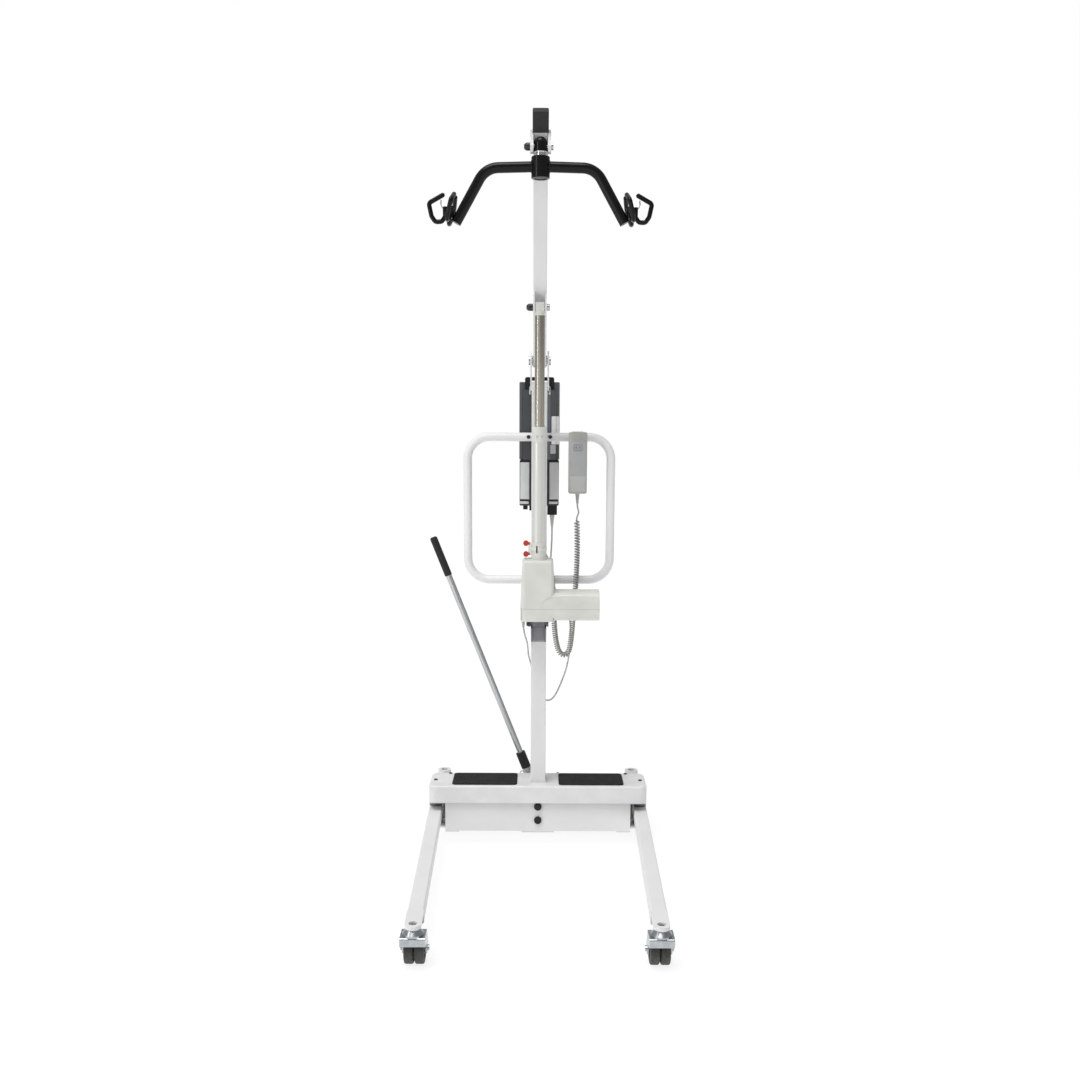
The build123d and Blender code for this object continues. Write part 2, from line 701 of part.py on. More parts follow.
def barrel(grow=0):
    half = case_half_depth + grow
    body = block(0, barrel_end + grow, -half, half, case_low - grow, case_low + 2 * 43 + grow)
    body = fillet(body.edges().filter_by(Axis.X), 24 + grow)
    return body


def make_actuator_housing():
    outline = Pos(-3, 0, case_split) * RectangleRounded(102, 2 * case_half_depth, 16)
    body = extrude(outline, amount=case_high - case_split, taper=2.4)
    body = fillet(body.edges().group_by(Axis.Z)[-1], 8)
    body += barrel() & block(-60, 200, -60, 60, case_split, 140)
    inside = block(-44, 38, -33, 33, case_split, case_high - 12)
    inside += barrel(-4) & block(0, 200, -60, 60, case_split, 140)
    body -= inside
    body -= post(bore_radius, 100, 230)
    return actuator_place * body


def make_motor_shell():
    body = case_outline(case_low, case_split)
    body += barrel() & block(-60, 200, -60, 60, case_low, case_split)
    inside = block(-50, 44, -39, 39, case_low + 4, case_split)
    inside += barrel(-4) & block(0, 200, -60, 60, case_low, case_split)
    body -= inside
    return actuator_place * body


def make_actuator_tube():
    tube = post(19.5, collar_top, tube_top) - post(bore_radius, collar_top, tube_top)
    return actuator_place * tube


def make_actuator_collars():
    collar = post(20.7, case_high, collar_top) - post(bore_radius, case_high, collar_top)
    collar -= block(-8, -4, -22, -15, 214, 236)
    cap = post(20.7, tube_top, cap_top) - post(14.05, tube_top, cap_top)
    cap = fillet(cap.edges().group_by(Axis.Z)[-1].sort_by(SortBy.LENGTH)[-1], 3)
    return Compound([actuator_place * collar, actuator_place * cap])


def make_release_tab():
    # Red emergency lowering ring: a band round the collar with a two-lobed lug on the left.
    band = post(23.5, 222, 230) - post(20.75, 222, 230)
    lug = block(-31, -21.5, -4, 4, 206, 244)
    for z in (209, 241):
        lug += bar_y(8, -4, 4, -38, z) + block(-38, -28, -4, 4, z - 2.5, z + 2.5)
    ring = band + lug
    ring -= post(20.75, 190, 260)
    ring -= block(-8, -4, -25, -15, 214, 236)
    return actuator_place * ring


def make_actuator_clevis():
    lug = block(-17, 17, -13, 13, 0, case_low) + bar_x(13, -17, 17)
    lug -= bar_x(6, -30, 30)
    edge = mast_half + 0.5
    pin = bar_x(6, -edge, edge) + bar_x(10, edge, edge + 6)
    pin += bar_x(10, -edge - 5, -edge) + dome_x(10, -edge - 5, 0, 0, -1, 8)
    return Compound([actuator_place * lug, actuator_place * pin])


def make_actuator_drive():
    motor = bar_x(26, 62, 168, 0, 55)
    worm = bar_x(7, 0, 61.5, -19, 55)
    wheel = post(30, 56, 64) - bar_x(8, -60, 60, -19, 55)
    spindle = post(6, 64, 543)
    return Compound([actuator_place * s for s in (motor, worm, wheel + spindle)])


def make_piston_rod():
    rod = post(14, rod_low, actuator_length - 22) - post(8, rod_low, actuator_length - 60)
    rod += post(17.35, rod_low - 12, rod_low) - post(8, rod_low - 12, rod_low)
    return actuator_place * rod


def make_rod_eye():
    top = actuator_length
    eye = post(14.5, top - 22, top) + bar_x(15.5, -eye_half, eye_half, 0, top)
    eye &= block(-eye_half, eye_half, -20, 20, top - 30, top + 30)
    eye -= bar_x(6 + running_gap, -30, 30, 0, top)
    return actuator_place * eye


# --- Handset and cords ---------------------------------------------------------------------------

handset_x = 115
handset_front, handset_back = -6, 22
handset_low, handset_high = 1084, 1267
button_y = handset_front - 1.5
key_offset, key_z = 5.5, 1221
hook_rear = handle_y + handle_tube_radius + 4
hook_top = handle_high + handle_tube_radius + 3.5


def make_handset():
    x = handset_x
    body = block(x - 27.5, x + 27.5, handset_front, handset_back, handset_low, handset_high)
    body = fillet(body.edges().filter_by(Axis.Y), 6)
    body = fillet(body.edges().group_by(Axis.Y)[0], 3)
    hook = block(x - 16, x + 16, handset_back - 3, handset_back, hook_top - 50, hook_top)
    hook += block(x - 16, x + 16, handset_back - 3, hook_rear, hook_top - 3, hook_top)
    hook += block(x - 16, x + 16, hook_rear - 3, hook_rear, hook_top - 34, hook_top)
    body += hook
    for side in (-1, 1):
        key = x + side * key_offset
        body -= block(key - 5, key + 5, handset_front - 1, handset_front + 4, key_z - 7, key_z + 7)
    relief = Pos(x, 8, handset_low) * Rot(180, 0, 0) * extrude(Circle(6.5), amount=30, taper=6)
    return body + relief


def make_button(side):
    x = handset_x + side * key_offset
    key = block(x - 4.7, x + 4.7, button_y, handset_front + 2, key_z - 6.7, key_z + 6.7)
    return fillet(key.edges().filter_by(Axis.Y), 2)


def cord(route, diameter):
    # Straight runs joined by arcs; each arc is as large as its two runs allow.
    corners = [Vector(*p) for p in route]
    radii = []
    for a, b, c in zip(corners, corners[1:], corners[2:]):
        turn = math.radians((b - a).get_angle(c - b))
        shorter = min((b - a).length, (c - b).length)
        radii.append(0.45 * shorter / math.tan(turn / 2))
    print("cord radii", [round(r, 1) for r in radii])
    path = FilletPolyline(*corners, radius=radii)
    tube = sweep(Plane(origin=path @ 0, z_dir=path % 0) * Circle(diameter / 2), path)
    expected = math.pi * diameter ** 2 / 4 * path.length
    print("cord length", round(path.length, 1), "volume ratio", round(tube.volume / expected, 4))
    return tube


coil_diameter = 18
lead_diameter = 5
# The curly stretch, from under the handset down in front of the handle and up behind the mast.
coil_route = [
    (114, 8, 1005), (115, 6, 975), (116, 4, 930), (115.5, 3, 880), (113.5, 2, 830),
    (110, 3, 780), (106, 4, 730), (103.5, 6, 690), (101.5, 8, 652), (99, 8.8, 622),
    (96.3, 9.2, 599.4), (77.5, 9.8, 590), (58.6, 10.8, 599.4), (55.5, 11.4, 622),
    (51.5, 11.8, 650), (48, 12, 686), (45.5, 12, 728), (44, 10, 768), (42, 11, 812),
    (38, 17, 846), (28, 40, 874), (15, 60, 894), (4, 72, 912), (-4, 76, 940),
]
handset_lead_route = [(115, 8, 1054), (115, 8, 1044), (118.5, 8, 1035), (119.5, 8, 1026),
                      (116, 8.6, 1018), (113.8, 8.4, 1011), (114, 8, 1005)]
plug_lead_route = [(-4, 76, 940), (-6.4, 77.2, 948.4), (-4, 76, 964), (-4, 76, 985)]
motor_cable_route = [
    (-46, -62, 716), (-46, -61, 690), (-42, -54, 664), (-34, -38, 638), (-32, -12, 612),
    (-31, 14, 588), (-24, 34, 560), (-14, 38, 520), (-4, 38, 478), (6, 37, 455),
    (20, 35.5, 441), (37, 33.5, 441), (51, 31.5, 455), (63, 30, 480), (75, 28, 510),
    (87, 26, 545), (95, 24, 590), (99, 24, 634), (99, 26, 674), (93, 28, 714), (78, 38, 746),
    (60, 52, 770), (46, 64, 796), (38, 72, 828), (36, 76, 866), (38, 77, 904), (40, 76, 940),
    (40, 76, relief_low),
]


def main():
    save("base_beam", make_base_beam())
    save("base_cover", make_base_cover())
    save("foot_pads", make_foot_pads())
    save("base_fasteners", make_base_fasteners())
    save("base_plugs", make_base_plugs())
    save("leg_bushings", make_leg_bushings())
    save("lever_bracket", make_lever_bracket())
    for side, name in ((-1, "left"), (1, "right")):
        save(f"leg_{name}", leg_place(side) * make_leg())
        save(f"leg_arm_{name}", make_leg_arm(side))
        save(f"tie_rod_{name}", make_tie_rod(side))
        save(f"front_fork_{name}", make_front_fork(side))
        save(f"front_wheels_{name}", make_front_wheels(side))
        save(f"rear_fork_{name}", make_rear_fork(side))
        save(f"rear_wheel_{name}", make_rear_wheel(side))
        save(f"brake_pedal_{name}", make_brake_pedal(side))
        save(f"hooks_{name}", make_hooks(side))
        save(f"gate_{name}", make_gate(side))
    save("shift_lever", make_shift_lever())
    save("lever_grips", make_lever_grips())
    save("lever_socket", make_lever_socket())
    save("mast", make_mast())
    save("mast_fasteners", make_mast_fasteners())
    save("handle_loop", make_handle_loop())
    save("box_plate", make_box_plate())
    save("control_box", make_control_box())
    save("battery", make_battery())
    save("battery_handle", make_battery_handle())
    save("stop_button", make_stop_button())
    save("box_plugs", make_box_plugs())
    save("boom", make_boom())
    save("boom_sleeve", make_boom_sleeve())
    save("boom_brackets", make_boom_brackets())
    save("boom_fasteners", make_boom_fasteners())
    save("swivel_knuckle", make_swivel_knuckle())
    save("spreader_bar", make_spreader_bar())
    save("actuator_housing", make_actuator_housing())
    save("motor_shell", make_motor_shell())
    save("actuator_tube", make_actuator_tube())
    save("actuator_collars", make_actuator_collars())
    save("release_tab", make_release_tab())
    save("actuator_clevis", make_actuator_clevis())
    save("actuator_drive", make_actuator_drive())
    save("piston_rod", make_piston_rod())
    save("rod_eye", make_rod_eye())
    save("handset", make_handset())
    save("button_up", make_button(-1))
    save("button_down", make_button(1))
    save("coil_cord", cord(coil_route, coil_diameter))
    leads = [cord(handset_lead_route, lead_diameter), cord(plug_lead_route, lead_diameter)]
    save("handset_lead", Compound(leads))
    save("motor_cable", cord(motor_cable_route, lead_diameter))


main()
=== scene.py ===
import json
import math

import bmesh
import bpy
from mathutils import Matrix, Vector


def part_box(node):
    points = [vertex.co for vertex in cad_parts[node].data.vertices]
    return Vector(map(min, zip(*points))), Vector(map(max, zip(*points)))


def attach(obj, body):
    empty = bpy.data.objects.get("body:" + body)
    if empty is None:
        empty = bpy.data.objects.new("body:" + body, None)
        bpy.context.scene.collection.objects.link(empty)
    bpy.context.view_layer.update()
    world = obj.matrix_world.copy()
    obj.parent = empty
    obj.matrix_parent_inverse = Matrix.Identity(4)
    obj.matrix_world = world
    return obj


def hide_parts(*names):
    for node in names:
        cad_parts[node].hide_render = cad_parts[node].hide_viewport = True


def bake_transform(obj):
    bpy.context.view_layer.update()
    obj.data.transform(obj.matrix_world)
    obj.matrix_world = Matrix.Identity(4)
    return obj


# Looks of a patient lift hoist, in metres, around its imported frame.
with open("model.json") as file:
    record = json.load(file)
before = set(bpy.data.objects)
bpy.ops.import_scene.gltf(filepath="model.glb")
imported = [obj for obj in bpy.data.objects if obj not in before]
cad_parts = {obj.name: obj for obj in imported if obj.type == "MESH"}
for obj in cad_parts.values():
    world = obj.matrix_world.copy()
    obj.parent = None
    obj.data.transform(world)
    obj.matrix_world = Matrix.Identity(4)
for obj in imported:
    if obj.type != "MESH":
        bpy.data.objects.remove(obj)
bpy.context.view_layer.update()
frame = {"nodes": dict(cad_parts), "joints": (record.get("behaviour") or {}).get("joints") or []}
scene = bpy.context.scene
MM = 0.001

# Landmarks of the frame: the mast's axis, the spreader's swivel and the actuator's two pins.
joints = {joint["name"]: joint for joint in frame["joints"]}
mast_y = joints["boom_lift"]["pos_m"][1]
swivel = Vector(joints["spreader_swing"]["pos_m"])
upper_pin = Vector(joints["rod_eye_pin"]["pos_m"])


def at(x, y, z):
    """A point given in millimetres from the foot of the mast's axis."""
    return Vector((x * MM, y * MM + mast_y, z * MM))


lever_lean = math.radians(21.6)
base_pin = at(0, -78, 703)
actuator_axis = (upper_pin - base_pin).normalized()
actuator_depth = Vector((1, 0, 0)).cross(actuator_axis) * -1


def on_actuator(x, depth, height):
    """A point in millimetres from the actuator's lower pin; depth is positive backwards."""
    return base_pin + Vector((x * MM, 0, 0)) + actuator_depth * (depth * MM) + actuator_axis * (height * MM)


# --- Materials -----------------------------------------------------------------------------

class Look:
    """A procedural material: a principled shader and the nodes that feed it."""

    def __init__(self, name, colour, roughness, metallic=0.0, specular=0.5):
        self.material = bpy.data.materials.new(name)
        self.material.use_nodes = True
        tree = self.material.node_tree
        self.nodes, self.links = tree.nodes, tree.links
        self.shader = self.nodes["Principled BSDF"]
        self.shader.inputs["Base Color"].default_value = (*colour, 1)
        self.shader.inputs["Roughness"].default_value = roughness
        self.shader.inputs["Metallic"].default_value = metallic
        self.shader.inputs["Specular IOR Level"].default_value = specular
        self.where = self.nodes.new("ShaderNodeTexCoord").outputs["Object"]
        self.relief = None

    def node(self, kind, **values):
        """A node whose named inputs are numbers, vectors or other nodes' outputs."""
        node = self.nodes.new(kind)
        for name, value in values.items():
            self.feed(node.inputs[name.replace("_", " ")], value)
        return node

    def feed(self, socket, value):
        if isinstance(value, bpy.types.NodeSocket):
            self.links.new(value, socket)
        else:
            socket.default_value = value

    def mapped(self, scale):
        return self.node("ShaderNodeMapping", Vector=self.where, Scale=scale).outputs["Vector"]

    def noise(self, scale, detail=3.0, vector=None, distortion=0.0):
        node = self.node("ShaderNodeTexNoise", Vector=vector or self.where, Scale=scale,
                         Detail=detail, Distortion=distortion)
        return node.outputs["Fac"]

    def cells(self, scale):
        return self.node("ShaderNodeTexVoronoi", Vector=self.where, Scale=scale).outputs["Distance"]

    def bands(self, scale, direction):
        node = self.node("ShaderNodeTexWave", Vector=self.where, Scale=scale)
        node.bands_direction = direction
        return node.outputs["Fac"]

    def ramp(self, value, low, high, out_low=0.0, out_high=1.0):
        node = self.node("ShaderNodeMapRange", Value=value, From_Min=low, From_Max=high,
                         To_Min=out_low, To_Max=out_high)
        return node.outputs["Result"]

    def math(self, operation, *values):
        node = self.nodes.new("ShaderNodeMath")
        node.operation = operation
        for socket, value in zip(node.inputs, values):
            self.feed(socket, value)
        return node.outputs["Value"]

    def axis(self, name):
        return self.node("ShaderNodeSeparateXYZ", Vector=self.where).outputs[name.upper()]

    def vector(self, operation, first, second):
        node = self.nodes.new("ShaderNodeVectorMath")
        node.operation = operation
        self.feed(node.inputs[0], first)
        self.feed(node.inputs["Scale" if operation == "SCALE" else 1], second)
        return node.outputs["Value" if operation == "DOT_PRODUCT" else "Vector"]

    def along(self, origin, direction):
        """How far a point lies from origin along direction."""
        height = self.vector("DOT_PRODUCT", self.where, direction)
        return self.math("SUBTRACT", height, origin.dot(direction))

    def lengthwise(self, direction, fine, coarse):
        """Coordinates for streaks along direction: fine across it and coarse along it."""
        height = self.vector("DOT_PRODUCT", self.where, direction)
        run = self.vector("SCALE", direction, height)
        across = self.vector("SUBTRACT", self.where, run)
        return self.vector("ADD", self.vector("SCALE", across, fine), self.vector("SCALE", run, coarse))

    def within(self, **limits):
        """1 inside a box given by its x, y and z limits, and 0 outside it."""
        found = 1.0
        for name, (low, high) in limits.items():
            inside = self.math("COMPARE", self.axis(name), (low + high) / 2, (high - low) / 2)
            found = self.math("MULTIPLY", inside, found)
        return found

    def round_within(self, centre, radius):
        """1 inside a cylinder along X, which is how the wheels' rims are found."""
        y = self.math("SUBTRACT", self.axis("y"), centre.y)
        z = self.math("SUBTRACT", self.axis("z"), centre.z)
        squares = self.math("ADD", self.math("POWER", y, 2), self.math("POWER", z, 2))
        return self.math("LESS_THAN", squares, radius ** 2)

    def current(self, name):
        socket = self.shader.inputs[name]
        return socket.links[0].from_socket if socket.is_linked else socket.default_value

    def paint(self, factor, colour):
        """Lays a second colour over the first where factor is 1."""
        node = self.nodes.new("ShaderNodeMix")
        node.data_type = "RGBA"
        first, second = [s for s in node.inputs if s.type == "RGBA"]
        self.feed(first, self.current("Base Color"))
        self.feed(second, (*colour, 1))
        self.feed(node.inputs["Factor"], factor)
        self.feed(self.shader.inputs["Base Color"], [s for s in node.outputs if s.type == "RGBA"][0])
        return self

    def patch(self, factor, colour, roughness, metallic):
        """A different finish where factor is 1."""
        self.paint(factor, colour)
        for name, value in (("Roughness", roughness), ("Metallic", metallic)):
            here = self.current(name)
            change = self.math("MULTIPLY", self.math("SUBTRACT", value, here), factor)
            self.feed(self.shader.inputs[name], self.math("ADD", here, change))
        return self

    def rough(self, value, low, high):
        self.feed(self.shader.inputs["Roughness"], self.ramp(value, 0.3, 0.7, low, high))
        return self

    def bump(self, value, depth):
        """Adds relief: value from 0 to 1 stands for this depth in metres."""
        node = self.node("ShaderNodeBump", Height=value, Strength=1.0, Distance=depth)
        if self.relief is not None:
            self.feed(node.inputs["Normal"], self.relief)
        self.relief = node.outputs["Normal"]
        self.feed(self.shader.inputs["Normal"], self.relief)
        return self

    def groove(self, distance, half_width, depth, shade):
        """A scribed line where distance is 0."""
        line = self.ramp(self.math("ABSOLUTE", distance), 0.0, half_width, 1.0, 0.0)
        self.paint(self.math("MULTIPLY", line, 0.8), shade)
        return self.bump(self.math("SUBTRACT", 1.0, line), depth)

    def glow(self, strength):
        """A little light of its own, for white surfaces that the studio light barely reaches."""
        self.shader.inputs["Emission Color"].default_value = (1, 1, 1, 1)
        self.shader.inputs["Emission Strength"].default_value = strength
        return self


def shaded(colour, share):
    return tuple(c * share for c in colour)


def powder_coat(name, colour):
    """Satin powder coat: fine orange peel, faint clouding, a little dust near the floor."""
    look = Look(name, colour, 0.38, specular=0.4)
    look.paint(look.ramp(look.noise(7, 4), 0.35, 0.7), shaded(colour, 0.955))
    dust = look.math("MULTIPLY", look.ramp(look.axis("z"), 0.0, 0.22, 0.3, 0.0), look.noise(60, 5))
    look.paint(dust, shaded(colour, 0.8))
    look.rough(look.noise(35, 3), 0.32, 0.46)
    return look.bump(look.noise(420, 2), 0.00009)


def moulded(name, colour, roughness=0.45, grain=1300, specular=0.4):
    """Moulded plastic with a fine spark-eroded grain and slight unevenness."""
    look = Look(name, colour, roughness, specular=specular)
    look.paint(look.ramp(look.noise(14, 3), 0.35, 0.68), shaded(colour, 0.9))
    look.rough(look.noise(90, 4), roughness - 0.06, roughness + 0.08)
    return look.bump(look.noise(grain, 2), 0.00005)


def plated(name, colour, roughness):
    """Bright zinc plate: bluish metal with a faint spangle and streaks of handling."""
    look = Look(name, colour, roughness, 1.0)
    look.paint(look.ramp(look.noise(45, 5, distortion=0.6), 0.4, 0.62), shaded(colour, 1.2))
    look.paint(look.ramp(look.cells(380), 0.25, 0.6, 0.0, 0.35), shaded(colour, 0.75))
    look.rough(look.noise(120, 5), roughness - 0.08, roughness + 0.12)
    return look.bump(look.noise(800, 3), 0.000012)


def drawn_steel(name, colour, direction, roughness, fine=320, coarse=8):
    """Drawn or turned metal: streaks that are long along the piece."""
    look = Look(name, colour, roughness, 1.0)
    streak = look.noise(1.0, 4, look.lengthwise(direction, fine, coarse))
    look.paint(look.ramp(streak, 0.35, 0.65), shaded(colour, 0.76))
    look.rough(streak, roughness - 0.06, roughness + 0.1)
    return look.bump(streak, 0.00002)


def gloss_coat(name):
    """Gloss black powder coat with soft orange peel and hairline rubs."""
    look = Look(name, (0.007, 0.007, 0.0071), 0.22, specular=0.2)
    rub = look.noise(1.0, 5, look.mapped((900, 900, 40)))
    look.paint(look.ramp(rub, 0.62, 0.8, 0.0, 0.5), (0.02, 0.02, 0.02))
    look.rough(look.noise(40, 4), 0.16, 0.28)
    return look.bump(look.noise(330, 2), 0.00004)


def pad_rubber(name):
    """Foot pad: matt rubber with lengthwise ribs, greyed where feet rub it."""
    look = Look(name, (0.016, 0.016, 0.0165), 0.75, specular=0.22)
    look.paint(look.ramp(look.noise(24, 5), 0.5, 0.8, 0.0, 0.6), (0.036, 0.035, 0.033))
    look.rough(look.noise(200, 4), 0.6, 0.85)
    look.bump(look.bands(50, "Y"), 0.0006)
    return look.bump(look.noise(1500, 2), 0.00012)


def grip_rubber(name):
    """Soft grip: rows of fine dimples and a worn sheen."""
    look = Look(name, (0.018, 0.018, 0.019), 0.55, specular=0.3)
    look.paint(look.ramp(look.noise(60, 4), 0.5, 0.8, 0.0, 0.5), (0.045, 0.044, 0.042))
    look.rough(look.noise(150, 4), 0.45, 0.7)
    return look.bump(look.cells(330), 0.0004)


def caster_wheel(name, centre, rim_radius):
    """Grey tread, dusty and scuffed, round a smoother grey rim."""
    look = Look(name, (0.062, 0.062, 0.056), 0.62, specular=0.3)
    look.paint(look.ramp(look.noise(80, 6), 0.45, 0.7, 0.0, 0.7), (0.11, 0.108, 0.098))
    look.rough(look.noise(140, 4), 0.5, 0.8)
    rim = look.round_within(centre, rim_radius)
    look.patch(rim, (0.14, 0.142, 0.14), 0.42, 0.0)
    return look.bump(look.noise(900, 3), 0.0001)


def aluminium(name):
    """Clear anodised tube: warm satin metal with fine lengthwise drawing lines."""
    look = Look(name, (0.72, 0.725, 0.69), 0.38, 0.55)
    streak = look.noise(1.0, 4, look.lengthwise(actuator_axis, 500, 6))
    look.paint(look.ramp(streak, 0.3, 0.7), (0.64, 0.645, 0.615))
    look.rough(streak, 0.3, 0.45)
    return look.bump(streak, 0.000015)


def piston_steel(name):
    """Ground rod with a warm oily film, and painted reflections: darker lengthwise bands at fixed places
    across it.
    """
    look = drawn_steel(name, (0.52, 0.495, 0.43), actuator_axis, 0.2, 420, 5)
    # Painted reflection: dark stripes at fixed x stand in for dark parts of the room mirrored in the rod.
    for x, half in ((-5.5, 0.7), (1.5, 0.9), (5.5, 2.2)):
        reflection_stripe = look.ramp(look.math("ABSOLUTE", look.math("SUBTRACT", look.axis("x"), x * MM)),
                         0.6 * half * MM, 1.4 * half * MM, 0.6, 0.0)
        look.paint(reflection_stripe, (0.17, 0.16, 0.14))
    return look


def cord_jacket(name, colour, bend_painted_light):
    """Soft PVC jacket, scuffed and slightly greyed; painted light makes it paler below 0.66 m, fading out
    by 0.8 m, in the bends under the actuator where its tight turns shade one another.
    """
    look = Look(name, colour, 0.5, specular=0.35)
    # Painted light: a paler colour low down offsets the shade that the closely packed turns cast on each
    # other.
    look.paint(look.ramp(look.axis("z"), 0.66, 0.8, 1.0, 0.0), bend_painted_light)
    look.paint(look.ramp(look.noise(160, 5), 0.4, 0.7), shaded(colour, 0.82))
    look.rough(look.noise(220, 3), 0.4, 0.62)
    return look.bump(look.noise(1600, 2), 0.00004)


paint_white, warm_grey, signal = (0.8, 0.8, 0.805), (0.74, 0.745, 0.7), (0.5, 0.035, 0.03)
bright_zinc, dull_zinc = (0.5, 0.52, 0.535), (0.15, 0.153, 0.165)
white = powder_coat("white_powder_coat", paint_white).material
# Painted light: a lighter copy of the white powder coat, used on the handle loop, which is the same paint
# as the mast and boom.
handle_white_lit = powder_coat("handle_white_lit", (0.86, 0.86, 0.865)).material
cover_white = moulded("cover_plastic", (0.8, 0.8, 0.802), 0.34, 900).material
zinc = plated("zinc_plate", bright_zinc, 0.3).material
lever_axis = Vector((-math.sin(lever_lean), 0, math.cos(lever_lean)))
lever_steel = drawn_steel("lever_tube_zinc", (0.62, 0.63, 0.64), lever_axis, 0.3, 260, 10).material
chromed = plated("chrome_plate", (0.44, 0.47, 0.49), 0.24).material
rod_steel = piston_steel("rod_steel").material
black_plastic = moulded("black_plastic", (0.014, 0.014, 0.015), 0.45, specular=0.3).material
sleeve_black = moulded("sleeve_black", (0.03, 0.03, 0.031), 0.52, 1100, 0.25).material
pad_black = pad_rubber("pad_rubber").material
grip_black = grip_rubber("grip_rubber").material
gloss_black = gloss_coat("gloss_black").material
cream = moulded("housing_grey", warm_grey, 0.42).material
red = moulded("signal_red", signal, 0.34, 1400).material
anodised = aluminium("anodised_tube").material
handset_grey = moulded("handset_grey", (0.45, 0.455, 0.425), 0.44, 1500).material
panel_grey = moulded("panel_grey", (0.47, 0.48, 0.485), 0.36, 1700).material
foot_panel = moulded("foot_panel", (0.55, 0.555, 0.55), 0.36, 1700).material
key_grey = moulded("key_grey", (0.4, 0.42, 0.44), 0.38, 1700).material
key_shade = moulded("key_shade", (0.25, 0.265, 0.28), 0.4, 1700).material
label_pale = moulded("plain_panel", (0.72, 0.73, 0.73), 0.34, 2000).material
# Painted light: the white labels glow a little, to lift them out of the shade of the mast and boom.
label_white = moulded("plain_white_panel", (0.93, 0.93, 0.92), 0.36, 2000).glow(0.14).material
# Each cord's second colour is painted light for its low bends under the actuator.
cord_grey = cord_jacket("cord_grey", (0.41, 0.415, 0.395), (0.5, 0.505, 0.485)).material
cable_grey = cord_jacket("cable_grey", (0.5, 0.505, 0.485), (0.6, 0.605, 0.585)).material
dark_steel = drawn_steel("dark_steel", (0.2, 0.2, 0.2), Vector((0, 0, 1)), 0.45, 60, 60).material
bushing_grey = moulded("bushing_grey", (0.16, 0.16, 0.168), 0.5).material

# Pieces with more than one finish.
nut_black = ((0.02, 0.02, 0.0205), 0.3, 0.0)


def capped_zinc(name, colour, **limits):
    """Zinc-plated bolts whose nuts, within these limits, wear black caps."""
    look = plated(name, colour, 0.3)
    return look.patch(look.within(**limits), *nut_black).material


boom_bolts = capped_zinc("boom_bolts", bright_zinc, x=(-0.1, -0.0195))
clevis_bolt = capped_zinc("clevis_bolt", dull_zinc, x=(-0.1, -0.0235))
mast_bolts = capped_zinc("mast_bolts", bright_zinc, y=(mast_y + 0.02, mast_y + 0.2))
base_bolts = capped_zinc("base_bolts", bright_zinc, z=(0.17, 0.3))


def case_grey(name):
    """Charging box: two greys parted at the joint of battery and control box."""
    look = moulded(name, (0.078, 0.081, 0.084), 0.46)
    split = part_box("battery")[0].z
    look.paint(look.within(z=(0, split)), (0.046, 0.047, 0.052))
    right = look.within(x=(0.028, 0.2), z=(split, 3))
    look.paint(right, (0.115, 0.119, 0.121))
    look.paint(look.within(x=(0.022, 0.033), z=(split, 3)), (0.2, 0.225, 0.26))
    height = look.along(Vector((0, 0, split)), Vector((0, 0, 1)))
    return look.groove(height, 0.0012, 0.0006, (0.01, 0.01, 0.01)).material


def plug_finish(name):
    """Black plugs with a light grey sleeve on the motor's cable."""
    look = moulded(name, (0.014, 0.014, 0.015), 0.45, specular=0.3)
    look.patch(look.within(x=(0.02, 0.08), z=(0.9, 1.0155)), (0.6, 0.605, 0.58), 0.5, 0.0)
    return look.material


def knuckle_finish(name):
    """Gloss black knuckle on a bright turned neck."""
    look = gloss_coat(name)
    neck = look.within(z=(swivel.z - 0.027, swivel.z - 0.0138))
    return look.patch(neck, (0.7, 0.71, 0.72), 0.14, 1.0).material


def shaft_finish(name):
    """Zinc-plated leg shafts whose ends on the cover are blackened."""
    look = plated(name, bright_zinc, 0.3)
    return look.patch(look.within(z=(0.19, 0.3)), *nut_black).material


def mast_finish(name):
    """White mast with a bare plated channel for the actuator's foot; its dark grey is partly the bare plate
    and partly painted shade for the actuator housing's shadow.
    """
    look = powder_coat(name, paint_white)
    # Painted shade: the plated channel is made darker to stand in for the shadow that the actuator's
    # housing casts on it.
    channel = look.within(y=(mast_y - 0.12, mast_y - 0.0233), z=(0.634, 0.732))
    return look.patch(channel, (0.25, 0.252, 0.265), 0.4, 1.0).material


def release_finish(name):
    """Red thumb lobes on a pale ring and plate."""
    look = moulded(name, signal, 0.34, 1400)
    middle = on_actuator(0, 0, 225).z
    plate_edge = look.within(x=(-0.0312, -0.025), z=(middle - 0.0115, middle + 0.0115))
    for pale in (look.within(x=(-0.0262, 0.1)), plate_edge):
        look.patch(pale, (0.74, 0.74, 0.7), 0.42, 0.0)
    return look.material


def housing_finish(name):
    """Actuator case with the scribed line where its two halves meet."""
    look = moulded(name, warm_grey, 0.42)
    height = look.along(on_actuator(0, 0, 52), actuator_axis)
    return look.groove(height, 0.0011, 0.0005, (0.45, 0.45, 0.42)).material


knuckle_look = knuckle_finish("knuckle_black")
shaft_look = shaft_finish("shaft_zinc")
mast_look = mast_finish("mast_white")
case_finish = case_grey("box_grey")
plug_look = plug_finish("plug_black")
release_look = release_finish("release_red")
housing_look = housing_finish("housing_parted")


def dress(material, *names):
    for name in names:
        node = frame["nodes"][name]
        for place in node.material_slots:
            place.material = material


